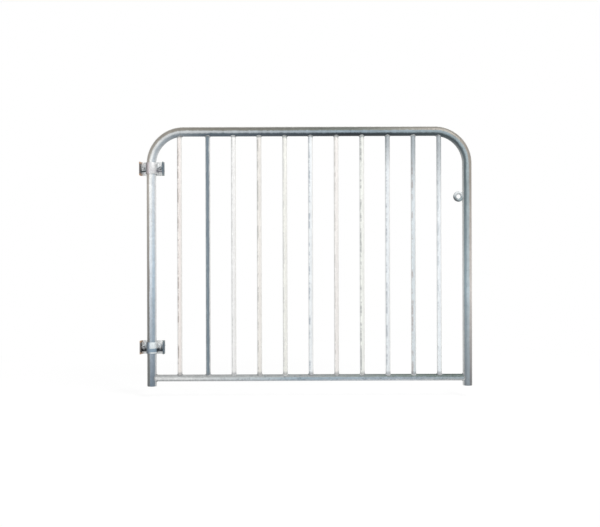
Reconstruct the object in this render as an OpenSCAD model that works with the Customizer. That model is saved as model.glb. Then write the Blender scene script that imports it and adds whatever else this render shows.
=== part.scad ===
// Vertical bar gate: one bent tube frame, a bottom rail and upright bars,
// turning on its left stile in two bolted saddle clamps.
// Millimetres, +Z up. X runs along the closed gate, from the hinge stile to the latch stile.
// Y = 0 is the flat back of the lower bracket, and the wall or post is behind it (+Y).

/* [Frame] */
// Width over the two stiles
leaf_w = 1450; // [1000:10:2400]
// Height from the feet to the top of the top rail
leaf_h = 1155; // [800:5:1400]
// Outside diameter of the frame tube
tube_d = 42.4; // [33:0.1:61]
// Wall thickness of the frame tube
tube_t = 2.6; // [2:0.1:5]
// Radius of the two top corners, on the tube's centre line
bend_r = 145; // [70:1:220]

/* [Bottom rail] */
// Outside diameter of the bottom rail
rail_d = 30; // [20:0.1:42]
// Wall thickness of the bottom rail
rail_t = 2.6; // [1.5:0.1:4]
// Height of the rail's centre above the feet
rail_up = 36; // [25:1:120]

/* [Bars] */
// Outside diameter of an upright bar
bar_d = 21.3; // [12:0.1:34]
// Wall thickness of an upright bar
bar_t = 2; // [1.2:0.1:4]
// How much wider the gap between the first two bars is than the others
wide_by = 12; // [0:1:40]

/* [Latch ring] */
// Outside diameter of the ring
ring_d = 47; // [30:1:80]
// Diameter of the round bar the ring is bent from
ring_bar = 14; // [6:0.5:16]
// Height of the ring's centre below the start of the corner bend
ring_drop = 147; // [60:1:600]
// How far the ring sinks into the stile at its weld
ring_sink = 7; // [0.5:0.1:8]

/* [Hinge brackets] */
// Height of the lower bracket's centre above the feet
lower_up = 172; // [80:1:400]
// Height of the upper bracket's centre below the start of the corner bend
upper_drop = 17.8; // [16:0.1:300]
// Height of a bracket
bracket_h = 60; // [30:1:120]
// Thickness of the bracket's web and flanges
bracket_t = 6; // [4:0.5:10]
// Depth of the flanges, measured from the flat back
flange_d = 32; // [12:1:45]

/* [Saddles] */
// Thickness of the saddle strap
saddle_t = 3.5; // [3:0.5:8]
// Height of the saddle strap
saddle_h = 50; // [20:1:110]
// Inner bend radius where the strap turns out into its ears
saddle_fillet = 1; // [0.5:0.5:6]
// Strap left beyond the nut at each ear's end
ear_edge = 0.4; // [0:0.1:20]
// Gap between an ear's end and the flange beside it
flange_gap = 0.5; // [0.3:0.1:10]
// Running gap between the stile and its saddle
turn_gap = 0.6; // [0.3:0.1:3]
// Running gap between the stile and the bracket behind it
back_gap = 0.6; // [0.3:0.1:3]

/* [Studs and nuts] */
// Gap between a nut and the strap's bend beside it
nut_room = 0.2; // [0.1:0.1:10]
// Diameter of a stud behind the bracket
stud_d = 14; // [8:1:20]
// How much thinner the stud is inside the bracket and nut
stud_relief = 0.3; // [0.1:0.1:0.6]
// Length of a stud behind the flat back
stud_back = 70; // [20:1:200]
// Length of thread that shows in front of the nut
stud_front = 8; // [1:1:30]
// Play between a stud and the holes it goes through
hole_play = 1.5; // [0.5:0.1:3]
// Nut size across its flats
nut_af = 21; // [13:0.5:30]
// Height of a nut
nut_h = 11; // [5:0.1:20]
// Play between a nut and its stud
nut_play = 0.05; // [0.02:0.01:0.2]
// Bevel at the free end of a stud
stud_bevel = 1.5; // [0.5:0.1:3]

/* [Hidden] */
tube_r = tube_d / 2;
span = leaf_w - tube_d;
axis_y = -(bracket_t + back_gap + tube_r);
foot_z = -lower_up;
top_z = foot_z + leaf_h - tube_r;
bend_z = top_z - bend_r;
rail_z = foot_z + rail_up;
ring_z = bend_z - ring_drop;
upper_z = bend_z - upper_drop;
bar_n = 11;
bar_gap = (leaf_w - 2 * tube_d - bar_n * bar_d - wide_by) / (bar_n + 1);
ring_x = span - tube_r - ring_d / 2 + ring_sink;
saddle_ri = tube_r + turn_gap;
saddle_ro = saddle_ri + saddle_t;
ear_y = -(bracket_t + saddle_t);
stud_x = saddle_ro + saddle_fillet + nut_room + nut_af / 2;
ear_x = stud_x + nut_af / 2 + ear_edge;
bracket_w = 2 * (ear_x + flange_gap + bracket_t);
hole_d = stud_d + hole_play;
nut_y = ear_y - nut_h;
nut_cut = 0.13 * nut_af * tan(30);
$fn = 64;

// Centre of an upright bar, counted from the hinge stile.
function bar_x(i) = tube_r + i * bar_gap + (i - 0.5) * bar_d + (i > 1 ? wide_by : 0);

// The frame's bent path at a given radius: two uprights, two corners and the top.
module path_solid(r, extra) {
  translate([0, axis_y, foot_z - extra]) cylinder(h = bend_z - foot_z + extra, r = r);
  translate([span, axis_y, foot_z - extra]) cylinder(h = bend_z - foot_z + extra, r = r);
  translate([bend_r, axis_y, top_z]) rotate([0, 90, 0]) cylinder(h = span - 2 * bend_r, r = r);
  translate([bend_r, axis_y, bend_z]) rotate([90, 0, 0])
    rotate([0, 0, 90]) rotate_extrude(angle = 90) translate([bend_r, 0]) circle(r = r);
  translate([span - bend_r, axis_y, bend_z]) rotate([90, 0, 0])
    rotate_extrude(angle = 90) translate([bend_r, 0]) circle(r = r);
}

// One tube bent twice, open at the two feet.
module frame_tube() {
  color([0.74, 0.76, 0.78]) difference() {
    path_solid(tube_r, 0);
    path_solid(tube_r - tube_t, 1);
  }
}

// Lower rail, cut round at both ends to sit against the stiles.
module bottom_rail() {
  color([0.74, 0.76, 0.78]) difference() {
    translate([0, axis_y, rail_z]) rotate([0, 90, 0]) cylinder(h = span, d = rail_d);
    translate([-1, axis_y, rail_z]) rotate([0, 90, 0])
      cylinder(h = span + 2, d = rail_d - 2 * rail_t);
    translate([0, axis_y, foot_z]) cylinder(h = 2 * rail_up, r = tube_r);
    translate([span, axis_y, foot_z]) cylinder(h = 2 * rail_up, r = tube_r);
  }
}

// Upright bar, cut at each end to the curve of the rail it is welded to.
module bar(i) {
  color([0.74, 0.76, 0.78]) difference() {
    translate([bar_x(i), axis_y, rail_z]) cylinder(h = top_z - rail_z, d = bar_d);
    translate([bar_x(i), axis_y, rail_z - 1]) cylinder(h = top_z - rail_z + 2, d = bar_d - 2 * bar_t);
    path_solid(tube_r, 0);
    translate([0, axis_y, rail_z]) rotate([0, 90, 0]) cylinder(h = span, d = rail_d);
  }
}

// Welded ring for a chain or a slip bolt.
module latch_ring() {
  color([0.72, 0.74, 0.76]) difference() {
    translate([ring_x, axis_y, ring_z]) rotate([90, 0, 0])
      rotate_extrude() translate([(ring_d - ring_bar) / 2, 0]) circle(d = ring_bar);
    translate([span, axis_y, ring_z - ring_d]) cylinder(h = 2 * ring_d, r = tube_r);
  }
}

// Flat-backed bracket: a web with a flange at each end, and a hole for each stud.
module bracket(z) {
  color([0.70, 0.72, 0.74]) translate([0, 0, z - bracket_h / 2]) difference() {
    union() {
      translate([-bracket_w / 2, -bracket_t, 0]) cube([bracket_w, bracket_t, bracket_h]);
      translate([-bracket_w / 2, -flange_d, 0]) cube([bracket_t, flange_d, bracket_h]);
      translate([bracket_w / 2 - bracket_t, -flange_d, 0]) cube([bracket_t, flange_d, bracket_h]);
    }
    for (s = [-1, 1]) translate([s * stud_x, 1, bracket_h / 2])
      rotate([90, 0, 0]) cylinder(h = bracket_t + 2, d = hole_d);
  }
}

// Half of the saddle's outline, on the +X side.
module saddle_half() {
  cx = saddle_ro + saddle_fillet;
  cy = ear_y - saddle_fillet;
  translate([saddle_ri, axis_y]) square([saddle_t, cy - axis_y]);
  intersection() {
    difference() {
      translate([cx, cy]) circle(r = saddle_fillet + saddle_t);
      translate([cx, cy]) circle(r = saddle_fillet);
    }
    translate([cx - saddle_fillet - saddle_t, cy]) square(saddle_fillet + saddle_t);
  }
  translate([cx, ear_y]) square([ear_x - cx, saddle_t]);
}

// Pressed strap over the front of the stile, with a drilled ear on each side.
module saddle(z) {
  color([0.72, 0.74, 0.76]) difference() {
    translate([0, 0, z - saddle_h / 2]) linear_extrude(height = saddle_h) union() {
      intersection() {
        difference() {
          translate([0, axis_y]) circle(r = saddle_ro);
          translate([0, axis_y]) circle(r = saddle_ri);
        }
        translate([-saddle_ro, axis_y - saddle_ro]) square([2 * saddle_ro, saddle_ro]);
      }
      saddle_half();
      mirror([1, 0]) saddle_half();
    }
    for (s = [-1, 1]) translate([s * stud_x, 0, z])
      rotate([90, 0, 0]) cylinder(h = bracket_t + saddle_t + 1, d = hole_d);
  }
}

// Stud from the wall or post, its thread passing through bracket, ear and nut.
module stud(s, z) {
  color([0.66, 0.67, 0.68]) translate([s * stud_x, 0, z]) {
    translate([0, 0.5, 0]) rotate([90, 0, 0]) {
      h = 0.5 - nut_y + stud_front - stud_bevel;
      cylinder(h = h, d = stud_d - stud_relief);
      translate([0, 0, h]) cylinder(h = stud_bevel, d1 = stud_d - stud_relief,
        d2 = stud_d - stud_relief - 2 * stud_bevel);
    }
    translate([0, stud_back - stud_bevel, 0]) rotate([90, 0, 0])
      cylinder(h = stud_back - stud_bevel - 0.5, d = stud_d);
    translate([0, stud_back, 0]) rotate([90, 0, 0])
      cylinder(h = stud_bevel, d1 = stud_d - 2 * stud_bevel, d2 = stud_d);
  }
}

// Hexagon nut, seated on the ear.
module nut(s, z) {
  color([0.66, 0.67, 0.68]) translate([s * stud_x, ear_y, z]) rotate([90, 0, 0]) difference() {
    intersection() {
      rotate([0, 0, 30]) cylinder(h = nut_h, d = nut_af / cos(30), $fn = 6);
      union() {
        cylinder(h = nut_h - nut_cut, d = 1.2 * nut_af);
        translate([0, 0, nut_h - nut_cut]) cylinder(h = nut_cut, d1 = 1.2 * nut_af, d2 = 0.94 * nut_af);
      }
    }
    translate([0, 0, -1]) cylinder(h = nut_h + 2, d = stud_d - stud_relief + 2 * nut_play);
  }
}

frame_tube();
bottom_rail();
bar(1);  // bar_01
bar(2);  // bar_02
bar(3);  // bar_03
bar(4);  // bar_04
bar(5);  // bar_05
bar(6);  // bar_06
bar(7);  // bar_07
bar(8);  // bar_08
bar(9);  // bar_09
bar(10);  // bar_10
bar(11);  // bar_11
latch_ring();
bracket(0);  // lower_bracket
saddle(0);  // lower_saddle
stud(-1, 0);  // lower_stud_left
stud(1, 0);  // lower_stud_right
nut(-1, 0);  // lower_nut_left
nut(1, 0);  // lower_nut_right
bracket(upper_z);  // upper_bracket
saddle(upper_z);  // upper_saddle
stud(-1, upper_z);  // upper_stud_left
stud(1, upper_z);  // upper_stud_right
nut(-1, upper_z);  // upper_nut_left
nut(1, upper_z);  // upper_nut_right
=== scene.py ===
# %% [markdown]
# Shade, shadows and highlights are also painted into the zinc's colour.
# # A galvanised bar gate
# This lesson dresses a gate that was designed in CAD. The CAD solids stay where they are.
# Blender gives them zinc, and adds what a drawing leaves out: welds, threads, weather, soft edges.
# The gate is a frame bent from one tube, a thinner bottom rail and eleven upright bars.
# It turns on its left stile, inside two saddle clamps that are bolted to a post or a wall.

# %% Load the frame
import math

import bmesh
import bpy
import numpy as np
from mathutils import Matrix, Vector


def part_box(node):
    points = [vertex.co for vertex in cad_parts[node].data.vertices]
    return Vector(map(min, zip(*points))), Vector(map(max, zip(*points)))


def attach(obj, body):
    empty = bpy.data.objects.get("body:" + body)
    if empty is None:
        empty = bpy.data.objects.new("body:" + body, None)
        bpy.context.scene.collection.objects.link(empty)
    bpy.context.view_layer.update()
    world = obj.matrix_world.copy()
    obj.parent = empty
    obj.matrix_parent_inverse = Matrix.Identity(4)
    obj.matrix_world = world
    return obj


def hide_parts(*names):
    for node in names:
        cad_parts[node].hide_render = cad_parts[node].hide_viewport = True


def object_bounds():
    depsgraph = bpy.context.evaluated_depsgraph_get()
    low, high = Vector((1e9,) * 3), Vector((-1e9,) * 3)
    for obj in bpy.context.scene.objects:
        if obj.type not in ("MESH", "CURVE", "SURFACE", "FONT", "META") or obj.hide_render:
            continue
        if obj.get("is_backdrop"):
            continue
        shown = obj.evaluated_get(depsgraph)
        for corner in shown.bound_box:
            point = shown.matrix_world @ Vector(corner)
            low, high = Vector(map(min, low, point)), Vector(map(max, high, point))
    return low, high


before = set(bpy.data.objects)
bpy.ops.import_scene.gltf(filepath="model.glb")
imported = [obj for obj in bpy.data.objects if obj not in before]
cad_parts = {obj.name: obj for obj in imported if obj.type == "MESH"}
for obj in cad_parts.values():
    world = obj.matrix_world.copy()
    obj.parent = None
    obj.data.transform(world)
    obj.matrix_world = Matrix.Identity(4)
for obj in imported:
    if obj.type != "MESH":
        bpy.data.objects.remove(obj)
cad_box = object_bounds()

scene = bpy.context.scene
print("CAD box", [round(x, 4) for corner in cad_box for x in corner])

# %% [markdown]
# ## Sizes
# The gate's own sizes come from the CAD boxes, so that the dressing fits the solids.
# A box gives the tube's radius and its axis. The radius of the corner bends and the tube's wall are
# two that no box shows, so they are written here as the drawing has them. Sizes that only the
# dressing has, such as a weld bead's, are named where they are used.

# %% Measure the solids
low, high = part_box("frame_tube")
TUBE_R = (high.y - low.y) / 2
AXIS_Y = (high.y + low.y) / 2
FOOT_Z, TOP_Z = low.z, high.z - TUBE_R
LEFT_X, RIGHT_X = low.x + TUBE_R, high.x - TUBE_R
BEND_R = 0.145
BEND_Z = TOP_Z - BEND_R
WALL = 0.0026
low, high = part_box("bottom_rail")
RAIL_R = (high.z - low.z) / 2
RAIL_Z = (high.z + low.z) / 2
BARS = [f"bar_{i:02d}" for i in range(1, 12)]
bar_x = {name: sum(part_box(name), Vector()).x / 2 for name in BARS}
low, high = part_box("bar_05")
BAR_R = (high.x - low.x) / 2
HINGES = {end: sum(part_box(end + "_bracket"), Vector()).z / 2 for end in ("lower", "upper")}
print("radii: tube", round(TUBE_R, 5), "rail", round(RAIL_R, 5), "bar", round(BAR_R, 5))
print("stiles at", round(LEFT_X, 4), round(RIGHT_X, 4), "hinges at", HINGES)
print("bars at", [round(x, 3) for x in bar_x.values()])

# %% [markdown]
# ## Camera
# The gate is seen square on, from about the height of its own middle, so that its uprights stay
# parallel. A lens of nearly fifty millimetres from a few metres away keeps the tubes' shape plain.
# The camera leans by a fifth of a degree, as a hand-held one does.

# %% Place the camera
LENS_MM, LEAN_DEG = 48.4, 0.18
BESIDE_HINGES, IN_FRONT, ABOVE_FEET = 0.6620, 3.6, 0.545
camera = bpy.data.objects.new("camera", bpy.data.cameras.new("camera"))
scene.collection.objects.link(camera)
scene.camera = camera
camera.data.lens = LENS_MM
camera.location = (LEFT_X + BESIDE_HINGES, AXIS_Y - IN_FRONT, FOOT_Z + ABOVE_FEET)
camera.rotation_euler = (math.radians(90), math.radians(LEAN_DEG), 0)
print("camera at", [round(x, 3) for x in camera.location], "lens", camera.data.lens)

# %% [markdown]
# ## Writing node trees as sums
# A finish is a recipe of numbers that change over the surface. Wiring such a recipe by hand is slow
# to read, so a socket is wrapped in a small class whose arithmetic adds Math nodes.
# One method adds any other node: its kind, then its settings, then what goes into its sockets.

# %% Sockets as numbers
class Val:
    """One output socket that can stand in a sum."""

    def __init__(self, sheet, socket):
        self.sheet, self.socket = sheet, socket

    def out(self, name):
        return Val(self.sheet, self.socket.node.outputs[name])

    def math(self, operation, *others):
        return self.sheet.node("ShaderNodeMath", {"operation": operation}, dict(enumerate([self, *others])))

    def __add__(self, other):
        return self.math("ADD", other)

    def __mul__(self, other):
        return self.math("MULTIPLY", other)

    __radd__, __rmul__ = __add__, __mul__

    def __sub__(self, other):
        return self.math("SUBTRACT", other)

    def __rsub__(self, other):
        return self * -1 + other

    def __truediv__(self, other):
        return self.math("DIVIDE", other)

    def __pow__(self, other):
        return self.math("POWER", other)


class Sheet:
    """A node tree, for a finish or for a shape."""

    def __init__(self, tree):
        self.tree = tree
        tree.nodes.clear()

    def node(self, kind, settings=None, inputs=None, out=0):
        n = self.tree.nodes.new(kind)
        for key, value in (settings or {}).items():
            if key == "stops":
                n.color_ramp.elements.remove(n.color_ramp.elements[1])
                first = n.color_ramp.elements[0]
                first.position, first.color = value[0][0], (*value[0][1], 1)
                for place, colour in value[1:]:
                    n.color_ramp.elements.new(place).color = (*colour, 1)
            else:
                setattr(n, key, value)
        for key, value in (inputs or {}).items():
            if isinstance(value, Val):
                self.tree.links.new(value.socket, n.inputs[key])
            else:
                n.inputs[key].default_value = value
        return Val(self, n.outputs[out]) if len(n.outputs) else n

    def blend(self, share, a, b, how="MIX"):
        """Colour a turning into colour b."""
        a, b = ((*c, 1) if isinstance(c, tuple) else c for c in (a, b))
        settings = {"data_type": "RGBA", "blend_type": how}
        return self.node("ShaderNodeMix", settings, {0: share, 6: a, 7: b}, out=2)

    def fade(self, value, start, end):
        """0 at start and 1 at end, with soft ends."""
        settings = {"interpolation_type": "SMOOTHSTEP"}
        return self.node("ShaderNodeMapRange", settings, {
            "Value": value, "From Min": start, "From Max": end})

    def noise(self, where, scale, detail=2.0, rough=0.5):
        return self.node("ShaderNodeTexNoise", {}, {
            "Vector": where, "Scale": scale, "Detail": detail, "Roughness": rough})

    def ragged(self, where, scale, reach, detail=2.0, rough=0.5):
        """Noise about zero, to move an edge to and fro by up to half its reach."""
        return (self.noise(where, scale, detail, rough) - 0.5) * reach

    def stretched(self, where, scale, shift=0.0):
        """The same place, with each direction drawn out or squeezed."""
        return self.node("ShaderNodeMapping", {}, {
            "Vector": where, "Scale": scale, "Location": (shift,) * 3})

    def ramp(self, value, *stops):
        return self.node("ShaderNodeValToRGB", {"stops": stops}, {0: value})


def tint(*shades):
    """A colour in linear light from the shades that a screen shows, 0 to 255, by the sRGB curve."""
    parts = [shade / 255 for shade in shades]
    return tuple(p / 12.92 if p <= 0.04045 else ((p + 0.055) / 1.055) ** 2.4 for p in parts)


print("node helpers ready")

# %% [markdown]
# ## Zinc
# Hot-dip galvanised steel is dipped in molten zinc. As the zinc freezes it grows crystals, the
# spangle, each lying at its own angle, so each is a little lighter or darker than the next.
# Over that lie clouds where it cooled slower, runs where it drained, and with age a dull bloom.
# Voronoi cells on slightly bent coordinates make the crystals, and noise drawn out along one
# direction makes the runs. The colour itself is a second recipe, the paint, which each piece brings.

# %% A zinc finish
CRYSTAL_BEND = 0.012
RELIEF_HEIGHT = 0.0012
GLOSS = 0.35


def zinc(name, paint, rough=0.44, metal=0.3, spangle=95.0, contrast=0.30,
         drawn=(40, 40, 4), bump=0.35, grit=0.0):
    """Zinc with spangle crystals to the metre, runs drawn out along the smallest of drawn, and grit."""
    mat = bpy.data.materials.new(name)
    mat.use_nodes = True
    s = Sheet(mat.node_tree)
    where = s.node("ShaderNodeTexCoord", out="Object")
    wobble = s.node("ShaderNodeTexNoise", {}, {"Vector": where, "Scale": 45.0, "Detail": 1.0}, out="Color")
    bent = s.node("ShaderNodeVectorMath", {"operation": "MULTIPLY_ADD"}, {
        0: wobble, 1: (CRYSTAL_BEND,) * 3, 2: where})
    cells = {"Vector": bent, "Scale": spangle}
    cell = s.node("ShaderNodeTexVoronoi", {"feature": "F1"}, cells, out="Color")
    crystal = s.node("ShaderNodeSeparateColor", {}, {0: cell}) - 0.5
    edge = s.node("ShaderNodeTexVoronoi", {"feature": "DISTANCE_TO_EDGE"}, cells)
    cloud = s.noise(where, 7.0, 4.0, 0.6) - 0.5
    fine = s.noise(where, 420.0, 2.0) - 0.5
    run = s.noise(s.stretched(where, drawn), 1.0, 3.0, 0.55) - 0.5
    shade = 1.0 + (crystal * 0.45 + cloud * 1.0 + run * 0.8 + fine * 0.15) * contrast
    colour = s.blend(1.0, paint(s, where), shade, "MULTIPLY")
    dull = rough + crystal * 0.16 + cloud * 0.22 + fine * 0.06
    height = s.fade(edge, 0.0, 0.06) * 0.25 + run * 0.8 + fine * (0.25 + grit) + cloud * 0.6
    relief = s.node("ShaderNodeBump", {}, {"Strength": bump, "Distance": RELIEF_HEIGHT, "Height": height})
    shader = s.node("ShaderNodeBsdfPrincipled", {}, {
        "Base Color": colour, "Metallic": metal, "Roughness": dull, "Normal": relief,
        "Specular IOR Level": GLOSS})
    s.node("ShaderNodeOutputMaterial", {}, {"Surface": shader})
    return mat


def two_tone(light, dark, patches):
    """Paint that drifts between two colours."""
    return lambda s, where: s.blend(s.fade(s.noise(where, patches, 4.0, 0.6), 0.38, 0.62), dark, light)


print("zinc recipe ready")

# %% [markdown]
# ## Finishing a piece
# A finished piece is a plain mesh at the origin that rides on one CAD body. The helper below
# takes a mesh, smooths its shading by angle, gives it its finish and hands it over.

# %% Hand a piece over
def hand_over(name, mesh, mat, body, smooth, stands_for=()):
    mesh.name = name
    mesh.shade_smooth()
    mesh.set_sharp_from_angle(angle=math.radians(smooth))
    mesh.materials.clear()
    mesh.materials.append(mat)
    obj = bpy.data.objects.new(name, mesh)
    scene.collection.objects.link(obj)
    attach(obj, body)
    if stands_for:
        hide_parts(*stands_for)
    print(name, "faces", len(mesh.polygons), "on", body)


# %% [markdown]
# ## The bent frame
# One tube goes up the left stile, over the top and down the right stile. A sweep makes it: a ring
# of points is carried along the centre line, and turned with it in the two corners. The same sweep
# with a smaller radius makes the bore, and a small rounding joins the two at the open feet.
# Each point also keeps two numbers for the finish: how far it lies to the outer side of the frame,
# and how far along the tube it is. A pattern can then follow the tube round its bends.

# %% Sweep the frame tube
STILE_RINGS, BEND_RINGS, TOP_RINGS, LIP_RINGS = 30, 41, 34, 9
SIDES = 72
LIP = 0.0011


def centre_line():
    """Points along the tube's axis in its own plane, the direction of travel, and the distance gone."""
    upright, across, corner = BEND_Z - FOOT_Z, RIGHT_X - LEFT_X - 2 * BEND_R, BEND_R * math.pi / 2
    path = [((LEFT_X, FOOT_Z + d), math.pi / 2, d) for d in np.linspace(0, upright, STILE_RINGS)[:-1]]
    for t in np.linspace(0, math.pi / 2, BEND_RINGS):
        spot = (LEFT_X + BEND_R - BEND_R * math.cos(t), BEND_Z + BEND_R * math.sin(t))
        path.append((spot, math.pi / 2 - t, upright + BEND_R * t))
    gone = upright + corner
    steps = np.linspace(0, across, TOP_RINGS)[1:-1]
    path += [((LEFT_X + BEND_R + d, TOP_Z), 0.0, gone + d) for d in steps]
    gone += across
    for t in np.linspace(0, math.pi / 2, BEND_RINGS):
        spot = (RIGHT_X - BEND_R + BEND_R * math.sin(t), BEND_Z + BEND_R * math.cos(t))
        path.append((spot, -t, gone + BEND_R * t))
    gone += corner
    steps = np.linspace(0, upright, STILE_RINGS)[1:]
    path += [((RIGHT_X, BEND_Z - d), -math.pi / 2, gone + d) for d in steps]
    return path


def hoop(spot, heading, radius, shift):
    """One ring of points round the centre line, moved along it by shift."""
    x, z = spot[0] + shift * math.cos(heading), spot[1] + shift * math.sin(heading)
    turns = np.arange(SIDES) * 2 * math.pi / SIDES
    out = radius * np.cos(turns)
    xs, zs = x - out * math.sin(heading), z + out * math.cos(heading)
    return np.stack([xs, AXIS_Y + radius * np.sin(turns), zs], 1)


def swept_tube():
    path = centre_line()
    length = path[-1][2]
    loops = [(p, h, TUBE_R, 0, d) for p, h, d in path[1:-1]]
    bore = [(p, h, TUBE_R - WALL, 0, d) for p, h, d in path[1:-1]]
    ends = []
    for (p, h, d), sign in ((path[0], 1), (path[-1], -1)):
        ends.append([(p, h, TUBE_R - WALL / 2 + WALL / 2 * math.cos(t), sign * LIP * (1 - math.sin(t)), d)
                     for t in np.linspace(0, math.pi, LIP_RINGS)])
    loops += ends[1] + bore[::-1] + ends[0][::-1]
    points = np.concatenate([hoop(p, h, r, shift) for p, h, r, shift, d in loops])
    outer = np.tile(np.cos(np.arange(SIDES) * 2 * math.pi / SIDES), len(loops))
    along = np.repeat([d / length for p, h, r, shift, d in loops], SIDES)
    faces = []
    for i in range(len(loops)):
        here, there = i * SIDES, (i + 1) % len(loops) * SIDES
        for j in range(SIDES):
            k = (j + 1) % SIDES
            faces.append((here + j, here + k, there + k, there + j))
    mesh = bpy.data.meshes.new("frame_tube_zinc")
    mesh.from_pydata(points.tolist(), [], faces)
    for label, values in (("outer", outer), ("along", along)):
        mesh.attributes.new(label, "FLOAT", "POINT").data.foreach_set("value", values)
    bm = bmesh.new()
    bm.from_mesh(mesh)
    bmesh.ops.recalc_face_normals(bm, faces=bm.faces)
    bm.to_mesh(mesh)
    bm.free()
    return mesh


tube_mesh = swept_tube()
print("frame tube points", len(tube_mesh.vertices))

# %% [markdown]
# ## Weather and painted shade on the frame
# A gate that has stood out for years is not one grey, and the tube's shading is painted in as well.
# The outer side is painted darker as shade, pale brown on the stiles and olive on the top. The inner
# side is painted bluer, and the underside of the top is painted nearly black as shade. The face is
# bright on the hinge stile and greyer elsewhere. Three colour ramps hold the three sides, each with one
# stop for each stretch of the tube: foot, low and high on the stile, first bend, top, last bend, and
# low and foot on the other stile.
# The number stored across the tube blends one colour into the next with a ragged edge.
# The outermost edge all the way round, and the stiles' inner edge, are painted paler again as a
# reflection of the white surround.

# %% Paint the frame
STRETCHES = (0.0, 0.13, 0.25, 0.37, 0.55, 0.74, 0.88, 1.0)


def frame_paint(s, where):
    across = s.node("ShaderNodeAttribute", {"attribute_name": "outer"}, out="Fac")
    along = s.node("ShaderNodeAttribute", {"attribute_name": "along"}, out="Fac")
    # Painted shade: the outer and inner sides of the tube darker than the lit face, nearly black under the
    # top.
    outer_shade = s.ramp(along, *zip(STRETCHES, (
        tint(110, 114, 114), tint(140, 136, 132), tint(180, 174, 166), tint(125, 122, 114),
        tint(98, 102, 96), tint(155, 148, 140), tint(210, 205, 200), tint(118, 118, 120))))
    face = s.ramp(along, *zip(STRETCHES, (
        tint(120, 134, 148), tint(205, 214, 222), tint(238, 240, 240), tint(190, 195, 198),
        tint(148, 165, 177), tint(150, 164, 168), tint(180, 195, 202), tint(135, 145, 152))))
    inner_shade = s.ramp(along, *zip(STRETCHES, (
        tint(118, 130, 142), tint(176, 194, 208), tint(208, 216, 222), tint(96, 108, 118),
        tint(42, 48, 54), tint(88, 100, 104), tint(136, 152, 160), tint(125, 132, 138))))
    ragged = s.ragged(s.stretched(where, (60, 60, 14)), 1.0, 0.35, 3.0, 0.6)
    ragged = ragged + s.ragged(where, 260.0, 0.22)
    upright = s.fade((along - 0.5).math("ABSOLUTE"), 0.16, 0.26)
    lean = (1.0 - upright) * 0.2
    colour = s.blend(s.fade(across + lean + ragged, 0.10, 0.44), face, outer_shade)
    colour = s.blend(s.fade(across * -1 - lean * 0.6 + ragged, 0.10, 0.46), colour, inner_shade)
    # Painted reflection: the outermost edge and the stiles' inner edge turn pale.
    inner_rim_reflection = s.fade(across * -1 + ragged * 0.3, 0.66, 0.94) * upright
    rim_reflection = s.fade(across + ragged * 0.3, 0.72, 0.96) + inner_rim_reflection
    return s.blend(rim_reflection * 0.8, colour, tint(236, 236, 234))


frame_zinc = zinc("zinc_frame", frame_paint)
hand_over("frame_tube_zinc", tube_mesh, frame_zinc, "leaf", 60, ["frame_tube"])

# %% [markdown]
# ## Bars
# The bars' solids are right as they are, so they stay and only take their finish. They were cut
# from different lengths of tube, and each length took the zinc its own way. One bar is much
# darker than the rest. Shade is painted on each bar as a thin broken dark line on the side towards
# the hinges, and on the last three bars a good way down from the top. The other side is painted pale
# as a highlight, the very edge towards the hinges is painted pale as a reflection, and a little shade
# is painted at each foot where it meets the rail.
# The place across a bar is its distance from the bar's own axis, so every bar has its own material.

# %% Paint the bars
# Heights above the rail where the painted shade at a bar's foot begins and is full.
FOOT_SHADE_FROM, FOOT_SHADE_FULL = 0.018, 0.003


def bar_paint(middle, body, edge, strength, dark_top):
    def paint(s, where):
        place = s.node("ShaderNodeSeparateXYZ", {}, {0: where})
        side = (place - middle) / BAR_R
        height = place.out("Z")
        ragged = s.ragged(s.stretched(where, (90, 90, 26), middle), 1.0, 0.5, 3.0, 0.6)
        broken = s.fade(s.noise(s.stretched(where, (8, 8, 18), middle * 3), 1.0, 3.0, 0.7), 0.42, 0.60)
        # Painted shade: a thin broken dark line on the side towards the hinges.
        shade_line = s.fade(side * -1 + ragged, 0.05, 0.45) * broken * strength
        colour = s.blend(shade_line, body, edge)
        # Painted highlight: the side away from the hinges turns pale.
        lit_side_highlight = s.fade(side + ragged, 0.40, 0.85)
        colour = s.blend(lit_side_highlight * 0.8, colour, tint(246, 246, 243))
        # Painted reflection: the very edge towards the hinges turns pale again.
        left_rim_reflection = s.fade(side * -1 + ragged * 0.5, 0.55, 0.95)
        colour = s.blend(left_rim_reflection * 0.7, colour, tint(240, 241, 240))
        under_top, on_rail = TOP_Z - TUBE_R, RAIL_Z + RAIL_R
        # Painted shade under the top tube, reaching dark_top down the bar.
        shade = s.fade(height + ragged * 0.02, under_top - dark_top, under_top)
        colour = s.blend(shade * 0.6, colour, tint(110, 120, 126))
        # Painted shade where the bar meets the rail.
        foot_shade = s.fade(height + ragged * 0.01, on_rail + FOOT_SHADE_FROM, on_rail + FOOT_SHADE_FULL)
        return s.blend(foot_shade * 0.55, colour, tint(134, 137, 140))
    return paint


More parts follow.
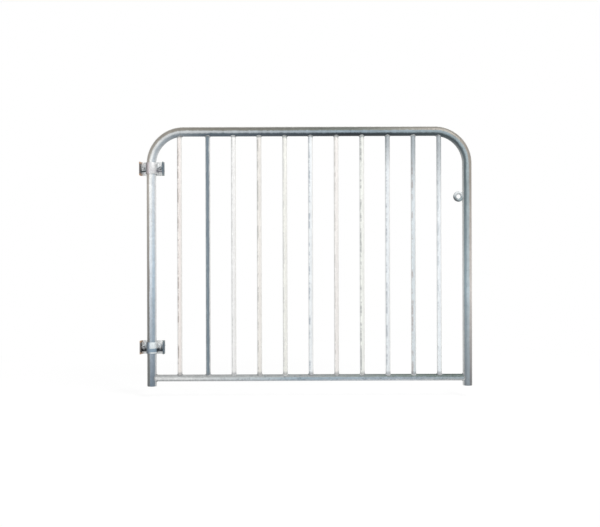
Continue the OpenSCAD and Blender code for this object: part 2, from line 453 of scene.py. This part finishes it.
# Columns: body, the painted shade line, how strong that line is, how far down the painted shade under the
# top reaches.
BAR_LOOKS = {  # body, line, how strong the line is, how far down the shade under the top reaches
    "bar_01": (tint(236, 230, 226), tint(150, 138, 132), 0.7, 0.012),
    "bar_02": (tint(114, 128, 138), tint(150, 162, 170), 0.5, 0.012),
    "bar_03": (tint(238, 238, 237), tint(196, 196, 195), 0.4, 0.008),
    "bar_04": (tint(233, 230, 225), tint(176, 176, 172), 0.6, 0.012),
    "bar_05": (tint(238, 238, 232), tint(196, 197, 198), 0.5, 0.016),
    "bar_06": (tint(234, 238, 240), tint(150, 162, 176), 0.7, 0.010),
    "bar_07": (tint(236, 233, 230), tint(196, 192, 188), 0.5, 0.012),
    "bar_08": (tint(239, 241, 236), tint(150, 154, 156), 0.7, 0.010),
    "bar_09": (tint(232, 237, 240), tint(150, 158, 170), 0.6, 0.20),
    "bar_10": (tint(214, 222, 226), tint(158, 140, 134), 0.6, 0.30),
    "bar_11": (tint(236, 241, 244), tint(170, 180, 188), 0.5, 0.36),
}


def finish(node, mat):
    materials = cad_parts[node].data.materials
    materials.clear()
    materials.append(mat)


for name, look in BAR_LOOKS.items():
    finish(name, zinc("zinc_" + name, bar_paint(bar_x[name], *look), contrast=0.15))
print("painted", len(BAR_LOOKS), "bars")

# %% [markdown]
# ## Bottom rail and ring
# The rail lies near the ground. Its upper edge is painted darker, most of all towards the latch
# side, and it is speckled darker. The lower edge is paler. The ring is painted lighter on top and
# dark on its lower side, away from the stile, as shade.

# %% Paint the rail and the ring
def rail_paint(s, where):
    place = s.node("ShaderNodeSeparateXYZ", {}, {0: where})
    up = (place.out("Z") - RAIL_Z) / RAIL_R
    along = (place - LEFT_X) / (RIGHT_X - LEFT_X)
    ragged = s.ragged(s.stretched(where, (22, 60, 60)), 1.0, 0.9, 4.0, 0.65)
    ragged = ragged + s.ragged(where, 150.0, 0.9)
    face = s.ramp(
        along, (0.1, tint(224, 226, 226)), (0.3, tint(196, 204, 208)), (0.47, tint(160, 178, 190)),
        (0.78, tint(166, 178, 188)), (0.93, tint(160, 172, 178)))
    upper = s.ramp(
        along, (0.1, tint(176, 178, 178)), (0.47, tint(152, 156, 156)), (0.78, tint(104, 114, 110)),
        (0.93, tint(84, 96, 92)))
    lower = s.ramp(
        along, (0.1, tint(176, 178, 180)), (0.47, tint(196, 201, 206)), (0.78, tint(212, 216, 220)),
        (0.93, tint(190, 192, 194)))
    # The upper edge is painted darker and the lower edge paler.
    colour = s.blend(s.fade(up + ragged * 0.4, 0.06, 0.42), face, upper)
    colour = s.blend(s.fade(up * -1 + ragged, 0.30, 0.70), colour, lower)
    specks = s.fade(s.noise(where, 130.0, 3.0, 0.6), 0.52, 0.66) * s.fade(along, 0.10, 0.35)
    return s.blend(specks * 0.5, colour, tint(104, 116, 128))


def ring_paint(s, where):
    low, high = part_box("latch_ring")
    place = s.node("ShaderNodeSeparateXYZ", {}, {0: where})
    aside = (place - (low.x + high.x) / 2) / (high.x - low.x)
    up = (place.out("Z") - (low.z + high.z) / 2) / (high.z - low.z)
    ragged = s.ragged(where, 90.0, 0.3, 3.0)
    # Painted light and shade: lighter on top, dark on the lower side away from the stile.
    colour = s.blend(s.fade(up + ragged, -0.15, 0.25), tint(150, 162, 166), tint(206, 210, 212))
    return s.blend(s.fade(aside * -1 - up * 1.2 + ragged, 0.25, 0.7), colour, tint(92, 94, 98))


finish("bottom_rail", zinc("zinc_rail", rail_paint, drawn=(4, 40, 40)))
finish("latch_ring", zinc("zinc_ring", ring_paint, spangle=160.0))
print("painted the rail and the ring")

# %% [markdown]
# ## Plates, straps and nuts with soft edges
# A sheared and dipped plate has no knife edge, and a highlight runs along its rounded arris.
# A copy of the CAD mesh is welded together, its flat triangles are joined into whole faces,
# and every sharp edge is bevelled by a fraction of a millimetre.

# %% Soften the edges of a solid
WELD_DIST = 2e-6
FLAT_DEG, SHARP_DEG = 0.4, 35
ROUNDING_STEPS = 2


def softened(node, width, mat):
    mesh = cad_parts[node].data.copy()
    bm = bmesh.new()
    bm.from_mesh(mesh)
    bmesh.ops.remove_doubles(bm, verts=bm.verts, dist=WELD_DIST)
    bmesh.ops.dissolve_limit(bm, angle_limit=math.radians(FLAT_DEG), verts=bm.verts, edges=bm.edges)
    least = math.radians(SHARP_DEG)
    sharp = [e for e in bm.edges if len(e.link_faces) == 2 and e.calc_face_angle() > least]
    bmesh.ops.bevel(bm, geom=sharp, offset=width, segments=ROUNDING_STEPS, profile=0.5,
                    affect="EDGES", clamp_overlap=True)
    bmesh.ops.recalc_face_normals(bm, faces=bm.faces)
    bm.to_mesh(mesh)
    bm.free()
    if mesh.has_custom_normals:
        mesh.attributes.remove(mesh.attributes["custom_normal"])
    hand_over(node + "_soft", mesh, mat, "hinge_brackets", 30, [node])


print("softening helper ready")

# %% [markdown]
# ## Weather and painted shadow on the clamps
# A band below the middle of each ear, across the strap's front and on each nut is painted dark as the
# shadow the nuts cast, nearly black on the lower clamp and thinner on the upper one. Shade is painted
# in the fold beside the stile, on the sides of the strap where it wraps the tube, and on the flanges
# at the two ends, with a little rust at the tips of the left ones. The ears are painted nearly white
# to lift the shade they lie in. The web behind and the front of the strap are pale. Each clamp's paint
# measures from its own height, and the pale and dark places follow from the distance to the stile's axis.

# %% Paint the clamps
# How far in from the bracket's ends the painted shade on the flanges begins and is full.
FLANGE_PALE, FLANGE_DARK = 0.012, 0.009
TIP_STARTS, TIP_FULL = 0.019, 0.026
BRIM_STARTS, BRIM_FULL = 0.0185, 0.0215
STRAP_STOPS = (0.06, 0.26, 0.50)


def clamp_masks(s, where, middle):
    """How far a spot lies to the side of the stile's axis and above the clamp's middle."""
    place = s.node("ShaderNodeSeparateXYZ", {}, {0: where})
    ragged = s.ragged(where, 120.0, 0.006, 3.0, 0.6)
    return place - LEFT_X + ragged, place.out("Z") - middle + ragged


def strap_paint(middle, look):
    top, bottom = look["band_top"], look["band_foot"]

    def paint(s, where):
        side, up = clamp_masks(s, where, middle)
        reach = side.math("ABSOLUTE")
        right = s.fade(side, 0.0, 0.001)
        across = side / TUBE_R * 0.5 + 0.5
        # Painted shade: the strap's sides darker where it wraps the tube, its front lit.
        colour = s.ramp(across, *zip(STRAP_STOPS, (look["edge"], look["turn"], look["front"])))
        # The same ramp, with the nuts' painted shadow across the strap's front.
        shadow_tone = s.ramp(across, *zip(STRAP_STOPS, (look["edge"], look["turn"], look["front_band"])))
        # The ears are painted nearly white to lift the shade they lie in.
        ear = s.blend(right, look["left_ear"], look["right_ear"])
        # Painted shade in the fold beside the stile.
        ear = s.blend(s.fade(reach, TUBE_R * 1.5, TUBE_R * 1.15) * 0.3, ear, tint(120, 130, 134))
        brim = s.fade(up.math("ABSOLUTE"), BRIM_STARTS, BRIM_FULL)
        ear = s.blend(brim * 0.8, ear, tint(238, 240, 240))
        beside = s.fade(reach, TUBE_R, TUBE_R * 1.12)
        # The painted shadow of the nuts, on the strap's front and on the ears.
        shadow_colour = s.blend(beside, shadow_tone, s.blend(right, look["left_band"], look["right_band"]))
        shadow_band = s.fade(up, top + 0.002, top - 0.002) * s.fade(up, bottom - 0.003, bottom + 0.001)
        return s.blend(shadow_band, s.blend(beside, colour, ear), shadow_colour)
    return paint


def nut_paint(middle, look):
    top = look["band_top"]

    def paint(s, where):
        side, up = clamp_masks(s, where, middle)
        pale = s.blend(s.fade(s.noise(where, 60.0), 0.4, 0.6), tint(236, 240, 242), tint(214, 221, 226))
        shadow_tone = s.blend(s.fade(side, 0.0, 0.001), look["left_band"], look["right_band"])
        # Painted shadow on the nut's lower part.
        return s.blend(s.fade(up, top + 0.001, top - 0.003) * 0.85, pale, shadow_tone)
    return paint


def bracket_paint(middle, half_width):
    def paint(s, where):
        side, up = clamp_masks(s, where, middle)
        reach = side.math("ABSOLUTE")
        # Painted shade on the flanges at the bracket's two ends.
        flange = s.fade(reach, half_width - FLANGE_PALE, half_width - FLANGE_DARK)
        dark = s.blend(s.fade(side, -0.001, 0.001), tint(112, 108, 106), tint(88, 102, 112))
        tips = s.fade(up.math("ABSOLUTE"), TIP_STARTS, TIP_FULL)
        rusty = s.blend(s.fade(side, -0.001, 0.001), tint(176, 146, 122), tint(120, 130, 132))
        dark = s.blend(tips, dark, rusty)
        return s.blend(flange, tint(236, 238, 238), dark)
    return paint


# Per clamp: the strap's painted shade from its edge over its turn to its front, the nuts' painted shadow on
# the strap's front, the ears' colours, the nuts' painted shadow on the left and right ears, and the heights
# below the middle where that shadow begins and ends.
CLAMP_LOOKS = {
    "lower": {
        "edge": tint(104, 114, 122), "turn": tint(122, 136, 150), "front": tint(222, 229, 232),
        "front_band": tint(140, 160, 176), "left_ear": tint(244, 248, 250),
        "right_ear": tint(246, 247, 247), "left_band": tint(44, 48, 56),
        "right_band": tint(74, 82, 90), "band_top": -0.003, "band_foot": -0.018},
    "upper": {
        "edge": tint(148, 146, 148), "turn": tint(182, 172, 174), "front": tint(218, 219, 220),
        "front_band": tint(214, 213, 216), "left_ear": tint(244, 247, 250),
        "right_ear": tint(247, 248, 248), "left_band": tint(100, 114, 114),
        "right_band": tint(164, 162, 172), "band_top": -0.008, "band_foot": -0.0135},
}
BRACKET_ARRIS, STRAP_ARRIS, NUT_ARRIS = 0.0009, 0.0006, 0.0003
for end, middle in HINGES.items():
    look = CLAMP_LOOKS[end]
    low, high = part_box(end + "_bracket")
    web_paint = bracket_paint(middle, (high.x - low.x) / 2)
    web_zinc = zinc(f"zinc_{end}_bracket", web_paint, spangle=120.0)
    softened(end + "_bracket", BRACKET_ARRIS, web_zinc)
    strap_zinc = zinc(f"zinc_{end}_strap", strap_paint(middle, look), spangle=130.0, contrast=0.2)
    softened(end + "_saddle", STRAP_ARRIS, strap_zinc)
    shadowed_nut = nut_paint(middle, look)
    nut_zinc = zinc(f"zinc_{end}_nut", shadowed_nut, rough=0.4, spangle=260.0, contrast=0.15)
    for side in ("left", "right"):
        softened(f"{end}_nut_{side}", NUT_ARRIS, nut_zinc)

# %% [markdown]
# ## Threads
# The studs are threaded rod. A thread is a groove that climbs one pitch in each turn, so its depth
# at any point follows from the height and the angle there. Geometry Nodes do just that: a plain
# cylinder with many rings, whose points move inward by a clipped triangle wave of height and angle.

# %% A tree for threaded rod
def socket_kind(value):
    if value is None:
        return "NodeSocketMaterial"
    return "NodeSocketInt" if isinstance(value, int) else "NodeSocketFloat"


def start_tree(name, inputs):
    tree = bpy.data.node_groups.new(name, "GeometryNodeTree")
    tree.interface.new_socket(name="Shape", in_out="INPUT", socket_type="NodeSocketGeometry")
    for label, value in inputs.items():
        tree.interface.new_socket(name=label, in_out="INPUT", socket_type=socket_kind(value))
    tree.interface.new_socket(name="Shape", in_out="OUTPUT", socket_type="NodeSocketGeometry")
    s = Sheet(tree)
    return tree, s, s.node("NodeGroupInput")


def end_tree(s, given, shape):
    real = s.node("GeometryNodeRealizeInstances", {}, {0: shape})
    painted = s.node("GeometryNodeSetMaterial", {}, {"Geometry": real, "Material": given.out("Finish")})
    s.node("NodeGroupOutput", {}, {0: painted})


ROD_SIZES = {"Radius": 0.007, "Length": 0.1, "Pitch": 0.002, "Depth": 0.0009, "Bevel": 0.0015,
             "Rings": 400, "Finish": None}
rod_tree, s, given = start_tree("threaded rod", ROD_SIZES)
rod = s.node("GeometryNodeMeshCylinder", {"fill_type": "NGON"}, {
    "Vertices": 32, "Side Segments": given.out("Rings"),
    "Radius": given.out("Radius"), "Depth": given.out("Length")})
place = s.node("ShaderNodeSeparateXYZ", {}, {0: s.node("GeometryNodeInputPosition")})
x, y, z = place.out("X"), place.out("Y"), place.out("Z")
saw = (z / given.out("Pitch") - y.math("ARCTAN2", x) / (2 * math.pi)).math("FRACT")
groove = ((saw - 0.5).math("ABSOLUTE") * 2.6 - 0.3).math("MAXIMUM", 0.0).math("MINIMUM", 1.0)
tip = given.out("Length") / 2 - z.math("ABSOLUTE")
wanted = given.out("Radius") - groove * given.out("Depth")
allowed = given.out("Radius") - given.out("Bevel") + tip
scale = wanted.math("MINIMUM", allowed) / given.out("Radius")
moved = s.node("ShaderNodeCombineXYZ", {}, {0: x * scale, 1: y * scale, 2: z})
end_tree(s, given, s.node("GeometryNodeSetPosition", {}, {"Geometry": rod, "Position": moved}))
print("rod tree nodes", len(rod_tree.nodes))

# %% [markdown]
# A tree works on an object through a modifier. Its inputs are set by the sockets' identifiers,
# the result is copied out as a plain mesh, and the modifier goes before the piece is handed over.

# %% Run a tree and keep the mesh
def grown(tree, values, base=None, turn=None):
    holder = bpy.data.objects.new("holder", base or bpy.data.meshes.new("seed"))
    scene.collection.objects.link(holder)
    modifier = holder.modifiers.new("tree", "NODES")
    modifier.node_group = tree
    for item in tree.interface.items_tree:
        if item.in_out == "INPUT" and item.name in values:
            modifier[item.identifier] = values[item.name]
    bpy.context.view_layer.update()
    made = bpy.data.meshes.new_from_object(holder.evaluated_get(bpy.context.evaluated_depsgraph_get()))
    bpy.data.objects.remove(holder)
    if turn is not None:
        made.transform(turn)
    return made


RINGS_APART = 0.00025
thread_paint = two_tone(tint(168, 170, 172), tint(112, 114, 116), 40.0)
thread_zinc = zinc("zinc_thread", thread_paint, rough=0.36, metal=0.8, spangle=400.0)
for end in HINGES:
    for side in ("left", "right"):
        node = f"{end}_stud_{side}"
        low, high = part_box(node)
        length, radius = high.y - low.y, (high.x - low.x) / 2
        laid = Matrix.Translation((low + high) / 2) @ Matrix.Rotation(math.pi / 2, 4, "X")
        sizes = {**ROD_SIZES, "Radius": radius, "Length": length,
                 "Rings": round(length / RINGS_APART), "Finish": thread_zinc}
        rod_mesh = grown(rod_tree, sizes, turn=laid)
        hand_over(node + "_thread", rod_mesh, thread_zinc, "hinge_brackets", 50, [node])

# %% [markdown]
# ## Weld beads
# Where a round bar meets a round rail, the seam is a saddle-shaped loop. The tree draws that loop
# from the two radii, sweeps a small round bead along it with the ripples that a welder leaves,
# and sets one on each point of a cloud, turned as the point's own attribute says. A little noise
# in the end makes each bead its own. Round beads hide a joint better than a modelled fillet would,
# because a fillet needs the exact meeting line of two meshes.

# %% A tree for weld beads
BEAD_SIZES = {"Branch radius": 0.01, "Main radius": 0.02, "Bead size": 0.0028, "Ripples": 30.0,
              "Ripple depth": 0.25, "Unevenness": 0.0014, "Seed": 1.0, "Finish": None}
bead_tree, s, given = start_tree("weld beads", BEAD_SIZES)
loop = s.node("GeometryNodeCurvePrimitiveCircle", {"mode": "RADIUS"}, {"Resolution": 132, "Radius": 1.0})
place = s.node("ShaderNodeSeparateXYZ", {}, {0: s.node("GeometryNodeInputPosition")})
branch = given.out("Branch radius")
bx, by = place.out("X") * branch, place.out("Y") * branch
rise = (given.out("Main radius") ** 2.0 - by * by).math("MAXIMUM", 0.0).math("SQRT")
saddle = s.node("ShaderNodeCombineXYZ", {}, {0: bx, 1: by, 2: rise})
shaped = s.node("GeometryNodeSetPosition", {}, {"Geometry": loop, "Position": saddle})
around = s.node("GeometryNodeSplineParameter").out("Factor")
ripple = (around * given.out("Ripples") * math.pi).math("SINE").math("ABSOLUTE")
depth = given.out("Ripple depth")
thick = given.out("Bead size") * (1.0 - depth + ripple * depth)
ring = s.node("GeometryNodeCurvePrimitiveCircle", {"mode": "RADIUS"}, {"Resolution": 10, "Radius": 1.0})
bead = s.node("GeometryNodeCurveToMesh", {}, {"Curve": shaped, "Profile Curve": ring, "Scale": thick})
turned = s.node("GeometryNodeInputNamedAttribute", {"data_type": "FLOAT_VECTOR"}, {"Name": "turn"})
many = s.node("GeometryNodeInstanceOnPoints", {}, {"Points": given, "Instance": bead, "Rotation": turned})
real = s.node("GeometryNodeRealizeInstances", {}, {0: many})
drift = s.node("ShaderNodeVectorMath", {"operation": "ADD"}, {
    0: s.node("GeometryNodeInputPosition"), 1: s.node("ShaderNodeCombineXYZ", {}, {0: given.out("Seed")})})
push = (s.noise(drift, 170.0, 1.0) - 0.5) * given.out("Unevenness")
outward = s.node("GeometryNodeInputNormal")
shift = s.node("ShaderNodeVectorMath", {"operation": "SCALE"}, {0: outward, "Scale": push})
end_tree(s, given, s.node("GeometryNodeSetPosition", {}, {"Geometry": real, "Offset": shift}))
print("bead tree nodes", len(bead_tree.nodes))

# %% [markdown]
# The points and turns: a bar's foot stands on the rail, its head hangs from the top tube, and the
# first and last bars meet the corner bend, where the tube already slopes. The rail's ends meet the stiles.

# %% Weld the joints
def cloud_of(places):
    mesh = bpy.data.meshes.new("places")
    mesh.from_pydata([tuple(spot) for spot, turn in places], [], [])
    turns = mesh.attributes.new("turn", "FLOAT_VECTOR", "POINT")
    turns.data.foreach_set("vector", [angle for spot, turn in places for angle in turn])
    return mesh


def head_place(x):
    """Where the tube's axis passes over a bar, and how far the tube slopes there."""
    reach = min(x - (LEFT_X + BEND_R), 0) + max(x - (RIGHT_X - BEND_R), 0)
    slope = math.asin(reach / BEND_R)
    return BEND_Z + BEND_R * math.cos(slope), slope


def beads(name, places, branch, main, size, ripples, seed):
    values = {**BEAD_SIZES, "Branch radius": branch, "Main radius": main, "Bead size": size,
              "Ripples": ripples, "Seed": seed, "Finish": weld_zinc}
    hand_over(name, grown(bead_tree, values, cloud_of(places)), weld_zinc, "leaf", 60)


BAR_BEAD, BAR_RIPPLES = 0.0026, 34.0
RAIL_BEAD, RAIL_RIPPLES = 0.0032, 44.0
PROUD = 0.0004
weld_paint = two_tone(tint(204, 206, 206), tint(146, 149, 151), 30.0)
weld_zinc = zinc("zinc_weld", weld_paint, rough=0.5, spangle=300.0, grit=0.8)
feet = [((x, AXIS_Y, RAIL_Z), (0, 0, 0)) for x in bar_x.values()]
heads = [((x, AXIS_Y, head_place(x)[0]), (math.pi, head_place(x)[1], 0)) for x in bar_x.values()]
quarter = math.pi / 2
ends = [((LEFT_X, AXIS_Y, RAIL_Z), (0, quarter, 0)), ((RIGHT_X, AXIS_Y, RAIL_Z), (0, -quarter, 0))]
beads("welds_at_bar_feet", feet, BAR_R + PROUD, RAIL_R, BAR_BEAD, BAR_RIPPLES, seed=3.0)
beads("welds_at_bar_heads", heads, BAR_R + PROUD, TUBE_R, BAR_BEAD, BAR_RIPPLES, seed=7.0)
beads("welds_at_rail_ends", ends, RAIL_R + PROUD, TUBE_R, RAIL_BEAD, RAIL_RIPPLES, seed=11.0)

# %% [markdown]
# ## Light and floor
# A plain studio: one large soft lamp high on the right, a weaker one low on the left, a pale floor
# and a white surround. The surround is white to the eye and in reflections, but gives the surface only
# a low even light, so that the tubes keep their shading. The floor glows white as well, and around
# the gate it lets enough of its own shade through to keep the gate's shadow.

# %% Light the gate
def lamp(name, place, aim, size, power, colour):
    data = bpy.data.lights.new(name, "AREA")
    data.shape, data.size, data.size_y = "RECTANGLE", *size
    data.energy, data.color = power, colour
    obj = bpy.data.objects.new(name, data)
    scene.collection.objects.link(obj)
    obj.location = place
    obj.rotation_euler = (Vector(aim) - Vector(place)).to_track_quat("-Z", "Y").to_euler()


middle = Vector(((LEFT_X + RIGHT_X) / 2, AXIS_Y, 0.4))
lamp("key", (2.5, -2.7, 3.7), middle, (1.8, 1.2), 122, (1.0, 0.99, 0.98))
lamp("fill", (-2.0, -2.8, 0.3), middle, (1.6, 2.0), 34, (0.96, 0.98, 1.0))


def to_the_eye(s):
    path = s.node("ShaderNodeLightPath")
    seen = path.out("Is Camera Ray") + path.out("Is Glossy Ray") + path.out("Is Transmission Ray")
    return seen.math("MINIMUM", 1.0)


SURROUND_LIGHT = 0.35
world = bpy.data.worlds.new("surround")
scene.world = world
world.use_nodes = True
s = Sheet(world.node_tree)
strength = SURROUND_LIGHT + to_the_eye(s) * (1 - SURROUND_LIGHT)
surround = s.node("ShaderNodeBackground", {}, {"Color": (1, 1, 1, 1), "Strength": strength})
s.node("ShaderNodeOutputWorld", {}, {"Surface": surround})

FLOOR_HALF, FLOOR_DROP = 9, 0.05
SHADOW_ENDS, SHADOW_FULL = 2.4, 1.0
SHADOW_SHARE, SHADOW_GLOW = 0.18, 0.10
floor_mesh = bpy.data.meshes.new("floor")
floor_z = FOOT_Z - FLOOR_DROP
corners = [(x * FLOOR_HALF, y * FLOOR_HALF, floor_z) for x, y in ((-1, -1), (1, -1), (1, 1), (-1, 1))]
floor_mesh.from_pydata(corners, [], [(0, 1, 2, 3)])
floor = bpy.data.objects.new("floor", floor_mesh)
scene.collection.objects.link(floor)
floor_finish = bpy.data.materials.new("pale_floor")
floor_finish.use_nodes = True
s = Sheet(floor_finish.node_tree)
away = s.node("ShaderNodeVectorMath", {"operation": "DISTANCE"}, {
    0: s.node("ShaderNodeTexCoord", out="Object"), 1: (middle.x, AXIS_Y, floor_z)}, out="Value")
near = s.fade(away, SHADOW_ENDS, SHADOW_FULL)
pale = s.node("ShaderNodeBsdfDiffuse", {}, {"Color": (0.9, 0.9, 0.9, 1)})
glow = s.node("ShaderNodeEmission", {}, {"Color": (1, 1, 1, 1), "Strength": 1.0 + near * SHADOW_GLOW})
both = s.node("ShaderNodeMixShader", {}, {0: to_the_eye(s) * (1.0 - near * SHADOW_SHARE), 1: pale, 2: glow})
s.node("ShaderNodeOutputMaterial", {}, {"Surface": both})
floor_mesh.materials.append(floor_finish)
floor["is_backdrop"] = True
scene.view_settings.view_transform = "Standard"
print("floor at", round(floor_z, 4))

# %% [markdown]
# ## Compare the boxes
# Dressing must not make the gate bigger, so the dressed box is measured and its growth over the CAD box is
# printed.

# %% Print how much the box grew
seen_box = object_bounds()
cad_size, seen_size = cad_box[1] - cad_box[0], seen_box[1] - seen_box[0]
print("grew by", [round(x, 5) for x in seen_size - cad_size])
